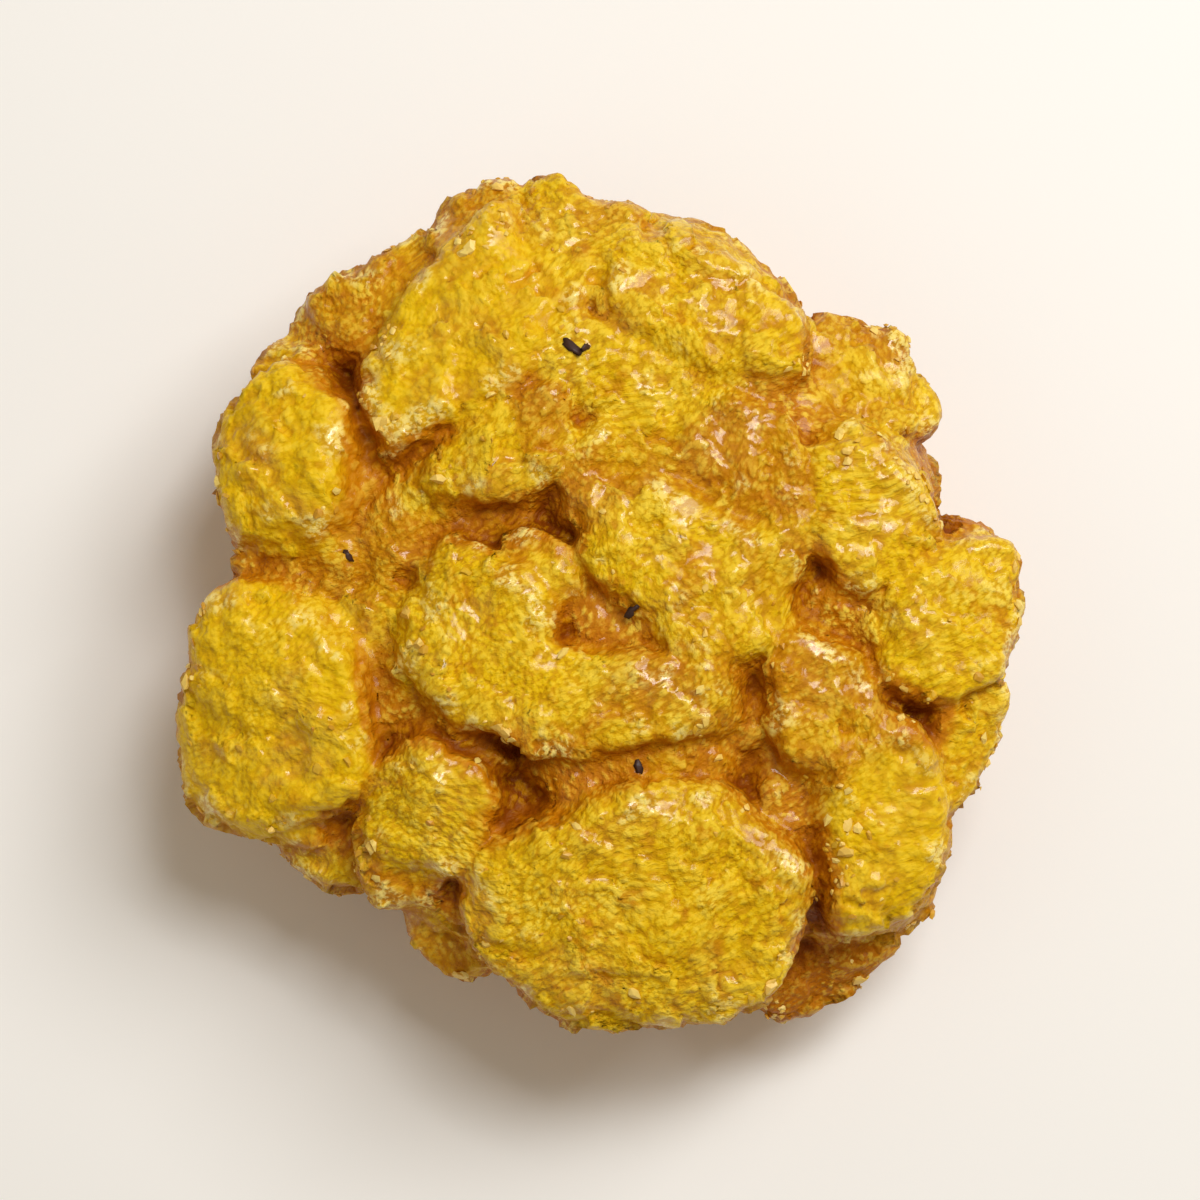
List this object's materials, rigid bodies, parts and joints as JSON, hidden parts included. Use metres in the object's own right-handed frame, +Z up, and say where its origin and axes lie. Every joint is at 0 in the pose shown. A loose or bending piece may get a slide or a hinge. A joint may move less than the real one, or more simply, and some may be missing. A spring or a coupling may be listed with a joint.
{
  "type": "japanese rice cracker",
  "caption": "Bumpy fried Japanese rice cracker: golden puffs of dough grown together into a domed, uneven disc with deep creases, resting on small flat spots.",
  "frame": {"origin": "middle of the cracker's outline, on the surface that it rests on", "axes": "+Z up out of the upper face; +Y towards the pointed ridge of the outline; +X to the right of it, seen from above"},
  "size_m": [0.046, 0.047, 0.0166],
  "materials": {
    "fried_dough": "gritty golden fried dough with an oily sheen, orange-brown in its creases"
  },
  "bodies": {
    "root": {"cracker": "fried_dough"}
  },
  "joints": []
}
